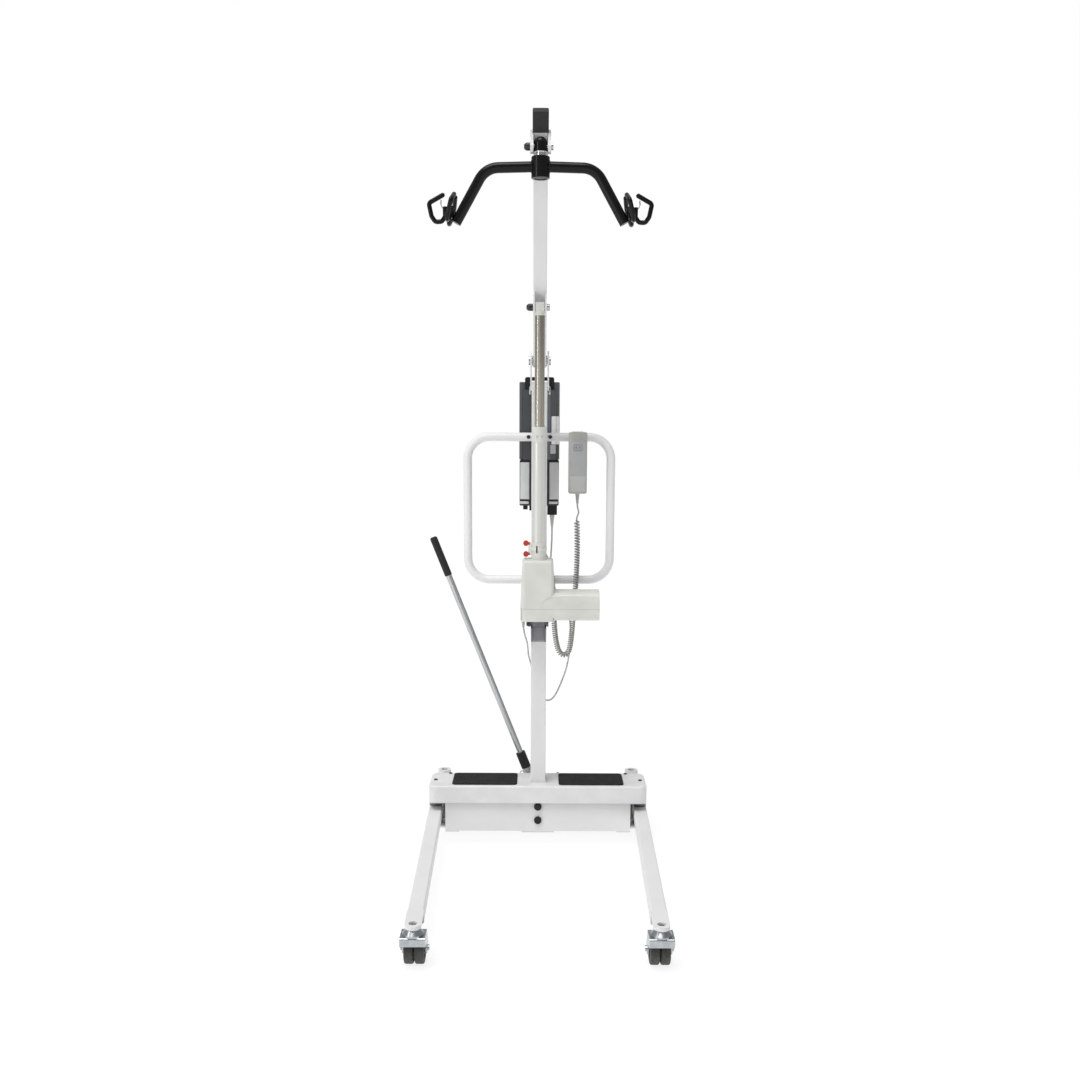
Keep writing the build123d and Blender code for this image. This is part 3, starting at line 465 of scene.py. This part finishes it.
sides = ("left", "right")
dress(white, "base_beam", "leg_left", "leg_right", "boom", "boom_brackets")
dress(handle_white_lit, "handle_loop")
dress(mast_look, "mast")
dress(cover_white, "base_cover")
dress(pad_black, "foot_pads")
dress(base_bolts, "base_fasteners")
dress(mast_bolts, "mast_fasteners")
dress(boom_bolts, "boom_fasteners")
dress(clevis_bolt, "actuator_clevis")
dress(zinc, "lever_bracket", "lever_socket")
dress(lever_steel, "shift_lever")
dress(grip_black, "lever_grips")
dress(black_plastic, "base_plugs", "battery_handle")
dress(bushing_grey, "leg_bushings")
dress(plug_look, "box_plugs")
dress(sleeve_black, "boom_sleeve")
dress(case_finish, "battery", "control_box", "box_plate")
dress(gloss_black, "spreader_bar")
dress(knuckle_look, "swivel_knuckle")
dress(cream, "actuator_collars", "rod_eye")
dress(housing_look, "actuator_housing", "motor_shell")
dress(anodised, "actuator_tube")
dress(rod_steel, "piston_rod")
dress(release_look, "release_tab")
dress(red, "stop_button")
dress(dark_steel, "actuator_drive")
dress(handset_grey, "handset")
dress(key_grey, "button_up", "button_down")
for side in sides:
    dress(shaft_look, f"leg_arm_{side}")
    dress(zinc, f"tie_rod_{side}", f"gate_{side}")
    dress(chromed, f"front_fork_{side}", f"rear_fork_{side}")
    dress(black_plastic, f"brake_pedal_{side}")
    dress(gloss_black, f"hooks_{side}")
    for name, rim_radius in ((f"front_wheels_{side}", 0.0255), (f"rear_wheel_{side}", 0.034)):
        low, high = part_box(name)
        dress(caster_wheel(f"tread_{name}", (low + high) / 2, rim_radius).material, name)


# --- Mesh helpers ----------------------------------------------------------------------------

def add_piece(name, mesh, material, body):
    for face in mesh.polygons:
        face.use_smooth = True
    mesh.materials.clear()
    mesh.materials.append(material)
    piece = bpy.data.objects.new(name, mesh)
    scene.collection.objects.link(piece)
    if body:
        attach(piece, body)
    return piece


def add_mesh(name, bm, material, body):
    mesh = bpy.data.meshes.new(name)
    bmesh.ops.recalc_face_normals(bm, faces=bm.faces)
    bm.to_mesh(mesh)
    bm.free()
    return add_piece(name, mesh, material, body)


def plate(name, low, high, material, body, bevel=0.0008):
    """A thin plate with rounded edges between two corners."""
    bm = bmesh.new()
    bmesh.ops.create_cube(bm, size=1)
    middle, size = (low + high) / 2, high - low
    bmesh.ops.transform(bm, matrix=Matrix.Translation(middle) @ Matrix.Diagonal((*size, 1)), verts=bm.verts)
    bmesh.ops.bevel(bm, geom=bm.edges, offset=min(bevel, 0.45 * min(size)), segments=3,
                    profile=0.6, affect="EDGES")
    return add_mesh(name, bm, material, body)


def turned(name, profile, origin, axis, material, body, count=32):
    """A turned piece: profile is a list of (radius, height) in metres up the axis."""
    bm = bmesh.new()
    turn = Vector((0, 0, 1)).rotation_difference(Vector(axis)).to_matrix()
    rings = []
    for radius, height in profile:
        ring = []
        for i in range(count):
            angle = math.tau * i / count
            spot = Vector((radius * math.cos(angle), radius * math.sin(angle), height))
            ring.append(bm.verts.new(origin + turn @ spot))
        rings.append(ring)
    for lower, upper in zip(rings, rings[1:]):
        for i in range(count):
            j = (i + 1) % count
            bm.faces.new((lower[i], lower[j], upper[j], upper[i]))
    bm.faces.new(rings[0])
    bm.faces.new(rings[-1])
    return add_mesh(name, bm, material, body)


def route_curve(name, points, closed=False):
    curve = bpy.data.curves.new(name, "CURVE")
    curve.dimensions = "3D"
    spline = curve.splines.new("NURBS")
    spline.points.add(len(points) - 1)
    for point, place in zip(spline.points, points):
        point.co = (*place, 1)
    spline.order_u = 3
    spline.use_endpoint_u = not closed
    spline.use_cyclic_u = closed
    spline.resolution_u = 8
    return curve


def meshed(curve):
    holder = bpy.data.objects.new("route", curve)
    mesh = bpy.data.meshes.new_from_object(holder)
    bpy.data.objects.remove(holder)
    return mesh


def bead(name, points, radius, material, body, closed=False):
    """A round bead along a smooth line: a weld, a moulded line or a wire."""
    curve = route_curve(name, points, closed)
    curve.bevel_depth = radius
    curve.bevel_resolution = 2
    return add_piece(name, meshed(curve), material, body)


def ring_points(centre, axis, radius, count=16, wobble=0.0):
    """Points round a circle; wobble makes a hand-laid weld's ripple."""
    turn = Vector((0, 0, 1)).rotation_difference(Vector(axis)).to_matrix()
    points = []
    for i in range(count):
        angle = math.tau * i / count
        reach = radius + wobble * (1 if i % 2 else -1)
        points.append(centre + turn @ Vector((reach * math.cos(angle), reach * math.sin(angle), 0)))
    return points


# --- Cords -----------------------------------------------------------------------------------

def along(curve):
    """Points read along a route's spline."""
    mesh = meshed(curve)
    return [v.co.copy() for v in mesh.vertices]


def resampled(places, step):
    """The same path at even steps."""
    result, left = [places[0]], step
    for a, b in zip(places, places[1:]):
        run = (b - a).length
        while run >= left:
            a = a + (b - a) * (left / run)
            result.append(a)
            run = (b - a).length
            left = step
        left -= run
    return result


def helix_points(places, radius, top_pitch, low_pitch, ease):
    """A helix round a path, loose near its start and closer further on."""
    step = low_pitch / 12
    places = resampled(places, step)
    side = (places[1] - places[0]).orthogonal().normalized()
    points, count, angle = [], len(places), 0.0
    for i, place in enumerate(places):
        ahead = (places[min(i + 1, count - 1)] - places[max(i - 1, 0)]).normalized()
        side = (side - ahead * side.dot(ahead)).normalized()
        grow = min(1.0, (i + 1) / ease, (count - i) / ease)
        reach = (side * math.cos(angle) + ahead.cross(side) * math.sin(angle)) * radius * grow
        points.append(place + reach)
        share = min(1.0, i / count / 0.3)
        angle += math.tau * step / (top_pitch + (low_pitch - top_pitch) * share)
    return points


def length_of(places):
    return sum((b - a).length for a, b in zip(places, places[1:]))


coil_diameter, wire, lead = 0.0185, 0.0046, 0.005
coil_route = [at(*p) for p in (
    (114, 8, 1005), (115, 6, 975), (116, 4, 930), (115.5, 3, 880), (113.5, 2, 830),
    (110, 3, 780), (106, 4, 730), (103.5, 6, 690), (101, 8, 652), (97.5, 8.8, 622),
    (93, 9.2, 601), (84.5, 9.5, 590.5), (71.5, 10, 590.5), (62, 10.8, 601), (56, 11.4, 622),
    (51, 11.8, 650), (48, 12, 686), (45.5, 12, 728), (44, 10, 768), (42, 11, 812),
    (38, 17, 846), (28, 40, 874), (15, 60, 894), (4, 72, 912), (-4, 76, 940))]
handset_lead_route = [at(*p) for p in (
    (115, 8, 1054), (115, 8, 1044), (118.5, 8, 1035), (119.5, 8, 1026), (116, 8.6, 1018),
    (113.8, 8.4, 1011))]
plug_lead_route = [at(*p) for p in ((-6.4, 77.2, 948.4), (-4, 76, 964), (-4, 76, 985))]
motor_cable_route = [at(*p) for p in (
    (-46, -62, 716), (-46, -61, 690), (-42, -54, 664), (-34, -38, 638), (-32, -12, 612),
    (-31, 14, 588), (-24, 34, 560), (-14, 38, 520), (-4, 38, 478), (6, 37, 455),
    (20, 35.5, 441), (37, 33.5, 441), (51, 31.5, 455), (63, 30, 480), (75, 28, 510),
    (87, 26, 545), (95, 24, 590), (99, 24, 634), (99, 26, 674), (93, 28, 714), (78, 38, 746),
    (60, 52, 770), (46, 64, 796), (38, 72, 828), (36, 76, 866), (38, 77, 904), (40, 76, 940),
    (40, 76, 976))]


def handset_cord():
    """One cord from the handset to the box: a short lead, the curly stretch and another lead."""
    turns = helix_points(along(route_curve("coil", coil_route)), (coil_diameter - wire) / 2,
                         0.0092, 0.0064, 14)
    points = handset_lead_route + turns + plug_lead_route
    curve = route_curve("handset_cord", points)
    curve.splines[0].resolution_u = 3
    centres = along(curve)
    curve.bevel_depth = wire / 2
    curve.bevel_resolution = 2
    curve.use_fill_caps = True
    piece = add_piece("handset_cord", meshed(curve), cord_grey, None)
    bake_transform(piece)
    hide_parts("coil_cord", "handset_lead")


def motor_lead():
    curve = route_curve("motor_lead", motor_cable_route)
    length = length_of(along(curve))
    curve.bevel_depth = lead / 2
    curve.bevel_resolution = 3
    curve.use_fill_caps = True
    curve.materials.append(cable_grey)
    piece = bpy.data.objects.new("motor_lead", curve)
    scene.collection.objects.link(piece)
    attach(piece, "base")
    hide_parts("motor_cable")


handset_cord()
motor_lead()


# --- Handset ---------------------------------------------------------------------------------

def dress_handset():
    """Face panel, key surround, moulded lens line and key arrows, all blank of words."""
    low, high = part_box("button_down")[0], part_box("button_up")[1]
    x = (low.x + high.x) / 2
    front = mast_y - 0.006
    top = at(0, 0, 1267).z
    plate("handset_panel", Vector((x - 0.0215, front - 0.0006, top - 0.128)),
          Vector((x + 0.0215, front + 0.001, top - 0.0285)), panel_grey, "handset", 0.0005)
    plate("handset_base_panel", Vector((x - 0.0215, front - 0.0004, top - 0.177)),
          Vector((x + 0.0215, front + 0.001, top - 0.1295)), foot_panel, "handset", 0.0004)
    for index, height in enumerate((top - 0.0165, top - 0.0205)):
        bend = 0.0035 * (1 if index else -1)
        points = [Vector((x + s * 0.015, front - 0.0001, height + bend * (s * s - 1)))
                  for s in (-1, -0.5, 0, 0.5, 1)]
        bead(f"handset_lens_{index}", points, 0.00055, key_grey, "handset")
    rim = 0.0028
    left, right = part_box("button_up")[0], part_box("button_down")[1]
    corners = [(left.x - rim, left.z - rim), (right.x + rim, left.z - rim),
               (right.x + rim, right.z + rim), (left.x - rim, right.z + rim)]
    corners = [Vector((cx, front - 0.0006, cz)) for cx, cz in corners]
    outline = []
    for a, b in zip(corners, corners[1:] + corners[:1]):
        outline += [a.lerp(b, 0.12), a.lerp(b, 0.5), a.lerp(b, 0.88)]
    bead("key_surround", outline, 0.0007, key_shade, "handset", True)
    for name, direction in (("button_up", 1), ("button_down", -1)):
        first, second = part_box(name)
        arrow(name, (first + second) / 2, first.y, direction)


def arrow(button, middle, face, direction):
    """A plain triangle standing a hair proud of a key."""
    bm = bmesh.new()
    corners = [(-0.003, -0.0022), (0.003, -0.0022), (0, 0.003)]
    front = [bm.verts.new((middle.x + cx, face - 0.0003, middle.z + direction * cz)) for cx, cz in corners]
    rear = [bm.verts.new((v.co.x, face + 0.0008, v.co.z)) for v in front]
    bm.faces.new(front)
    bm.faces.new(rear)
    for i in range(3):
        bm.faces.new((front[i], front[(i + 1) % 3], rear[(i + 1) % 3], rear[i]))
    add_mesh(f"arrow_{button}", bm, key_shade, button)


# --- Control box -----------------------------------------------------------------------------

def dress_box():
    """Blank side panels and labels, the bars under them, thin black strips painted as the shadow in the
    gaps under the battery, and the lugs that hold the plate.
    """
    split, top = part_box("battery")[0].z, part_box("battery")[1].z
    box_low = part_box("control_box")[0]
    face = mast_y + 0.0546
    case = box_low.y
    for name, x0, x1 in (("left", -0.0575, -0.03), ("right", 0.031, 0.0585)):
        plate(f"side_panel_{name}", Vector((x0, face - 0.0012, box_low.z + 0.02)),
              Vector((x1, case + 0.001, split - 0.008)), label_pale, "base", 0.0018)
        plate(f"foot_bar_{name}", Vector((x0 - 0.001, face - 0.0022, box_low.z + 0.006)),
              Vector((x1 - 0.002, case + 0.001, box_low.z + 0.0135)), label_pale, "base", 0.0018)
        # Painted shadow: a thin black strip fills the shaded slit between each side panel and the battery.
        plate(f"gap_shadow_{name}", Vector((x0 - 0.002, face - 0.0004, split - 0.007)),
              Vector((x1 + 0.001, case, split - 0.002)), black_plastic, "base", 0.0008)
    plate("label_inner", Vector((0.0365, face - 0.0008, split + 0.046)),
          Vector((0.0495, face + 0.001, split + 0.13)), label_white, "base", 0.0004)
    case_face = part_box("battery")[0].y
    plate("label_outer", Vector((0.0502, case_face - 0.0006, split + 0.046)),
          Vector((0.0592, case_face + 0.001, split + 0.13)), label_white, "battery", 0.0004)
    plate("latch_panel", Vector((0.033, face - 0.001, split + 0.018)),
          Vector((0.0495, face + 0.001, split + 0.044)), label_pale, "base", 0.0006)
    capsule = [(0.0022, 0.0), (0.0042, 0.0014), (0.0046, 0.006), (0.0046, 0.021), (0.004, 0.025),
               (0.0015, 0.027)]
    for name, x in (("left", -0.0275), ("right", 0.0295)):
        turned(f"plate_lug_{name}", capsule, Vector((x, face - 0.0012, top - 0.039)), (0, 0, 1),
               zinc, "base", 20)


# --- Actuator --------------------------------------------------------------------------------

def dress_actuator():
    """Moulded arch over the motor, cap screws, a grommet where the cable leaves the case."""
    face = -43.2
    arch = [(6, 60), (12, 74), (24, 86), (40, 94), (62, 98), (100, 99), (150, 99), (172, 97)]
    bead("housing_arch", [on_actuator(x, face + (0.4 if x > 40 else 0), z) for x, z in arch], 0.0008,
         cream, "actuator")
    for index, x in enumerate((-7, 7)):
        turned(f"cap_screw_{index}", [(0.0016, 0.0), (0.0022, 0.0008), (0.0022, 0.0015)],
               on_actuator(x, -20.4, 552), actuator_depth * -1, panel_grey, "actuator", 16)
    for name, height, reach in (("low", 537.5, 0.0213), ("high", 560, 0.021)):
        bead(f"cap_ring_{name}", ring_points(on_actuator(0, 0, height), actuator_axis, reach), 0.0008,
             cream, "actuator", True)
    taper = [(0.0065, 0.006), (0.0065, -0.002), (0.0052, -0.006), (0.0042, -0.02), (0.0034, -0.028)]
    turned("motor_grommet", taper, motor_cable_route[0], (0, 0, 1), cable_grey, "actuator",
           20)


# --- Welds and small parts -------------------------------------------------------------------

def dress_metalwork():
    hub = swivel + Vector((0, 0, -0.0495))
    for name, sign in (("left", -1), ("right", 1)):
        ring = ring_points(hub + Vector((sign * 0.0225, 0, 0)), (1, 0, 0), 0.0142, 20, 0.0004)
        bead(f"arm_weld_{name}", ring, 0.0026, gloss_black, "spreader", True)
        for end in (-1, 1):
            turned(f"pivot_washer_{name}_{'front' if end < 0 else 'rear'}",
                   [(0.004, 0.0), (0.0062, 0.0004), (0.0062, 0.0012), (0.004, 0.0015)],
                   at(sign * 40, end * 20, 137), (0, 0, 1), zinc, "base", 20)
    # The mast's foot weld shows on the beam's underside, and a hand-laid bead joins the brackets.
    foot = [at(x, y, 43.2) for x, y in ((-23, -23), (0, -23.5), (23, -23), (23.5, 0), (23, 23),
                                        (0, 23.5), (-23, 23), (-23.5, 0))]
    bead("mast_foot_weld", foot, 0.0016, white, "base", True)
    for z in (636, 726):
        seam = [at(x, -23.6, z) for x in (-19, -8, 0, 8, 19)]
        bead(f"channel_weld_{z}", seam, 0.0014, white, "base")


dress_handset()
dress_box()
dress_actuator()
dress_metalwork()


# --- Camera, floor and light -------------------------------------------------------------------

def make_camera():
    data = bpy.data.cameras.new("camera")
    data.sensor_width = 36
    data.lens = 36.37
    data.shift_x = 0.0012
    data.shift_y = 0.0527
    camera = bpy.data.objects.new("camera", data)
    scene.collection.objects.link(camera)
    pitch, roll = math.radians(8.2), math.radians(0.25)
    turn = Matrix.Rotation(math.pi / 2 - pitch, 4, "X") @ Matrix.Rotation(roll, 4, "Z")
    camera.matrix_world = Matrix.Translation(at(0, -3282, 1244)) @ turn
    scene.camera = camera


def make_floor():
    bm = bmesh.new()
    bmesh.ops.create_grid(bm, x_segments=1, y_segments=1, size=30)
    mesh = bpy.data.meshes.new("floor")
    bm.to_mesh(mesh)
    bm.free()
    floor = bpy.data.objects.new("floor", mesh)
    scene.collection.objects.link(floor)
    look = Look("floor_pale", (0.2, 0.2, 0.2), 0.9, specular=0.0)
    look.paint(look.ramp(look.noise(3, 3), 0.3, 0.7, 0.0, 0.25), (0.18, 0.18, 0.18))
    mesh.materials.append(look.glow(0.84).material)


def aimed(name, data, place, target):
    lamp = bpy.data.objects.new(name, data)
    scene.collection.objects.link(lamp)
    facing = (Vector(target) - Vector(place)).to_track_quat("-Z", "Y")
    lamp.matrix_world = Matrix.Translation(place) @ facing.to_matrix().to_4x4()


def make_lights():
    """A high broad key, and a tall strip on the left for the black tubes' highlights."""
    key = bpy.data.lights.new("key", "SUN")
    key.energy = 1.95
    key.angle = math.radians(38)
    aimed("key", key, (-0.75, -1.35, 5.4), (0, 0, 1))
    strip = bpy.data.lights.new("strip", "AREA")
    strip.shape = "RECTANGLE"
    strip.size, strip.size_y = 0.3, 3.0
    strip.energy = 30
    aimed("strip", strip, (-3.2, -2.4, 1.9), (0, 0.2, 1.2))


def make_world():
    """White to the camera; to the object, a dim room that is darker behind the camera and on the right."""
    world = bpy.data.worlds.new("studio")
    world.use_nodes = True
    tree = world.node_tree
    background = tree.nodes["Background"]
    direction = tree.nodes.new("ShaderNodeSeparateXYZ")
    tree.links.new(tree.nodes.new("ShaderNodeTexCoord").outputs["Generated"], direction.inputs["Vector"])

    def graded(axis, *limits):
        part = tree.nodes.new("ShaderNodeMapRange")
        for name, value in zip(("From Min", "From Max", "To Min", "To Max"), limits):
            part.inputs[name].default_value = value
        tree.links.new(direction.outputs[axis], part.inputs["Value"])
        return part.outputs["Result"]

    room = tree.nodes.new("ShaderNodeMath")
    room.operation = "MULTIPLY"
    tree.links.new(graded("Y", -1.0, 0.2, 0.3, 0.46), room.inputs[0])
    tree.links.new(graded("X", 0.0, 0.9, 1.0, 0.72), room.inputs[1])
    seen = tree.nodes.new("ShaderNodeLightPath").outputs["Is Camera Ray"]
    brightness = tree.nodes.new("ShaderNodeMath")
    brightness.operation = "MAXIMUM"
    tree.links.new(seen, brightness.inputs[0])
    tree.links.new(room.outputs["Value"], brightness.inputs[1])
    background.inputs["Color"].default_value = (1, 1, 1, 1)
    tree.links.new(brightness.outputs["Value"], background.inputs["Strength"])
    scene.world = world


make_camera()
make_floor()
make_world()
make_lights()
scene.view_settings.view_transform = "Standard"
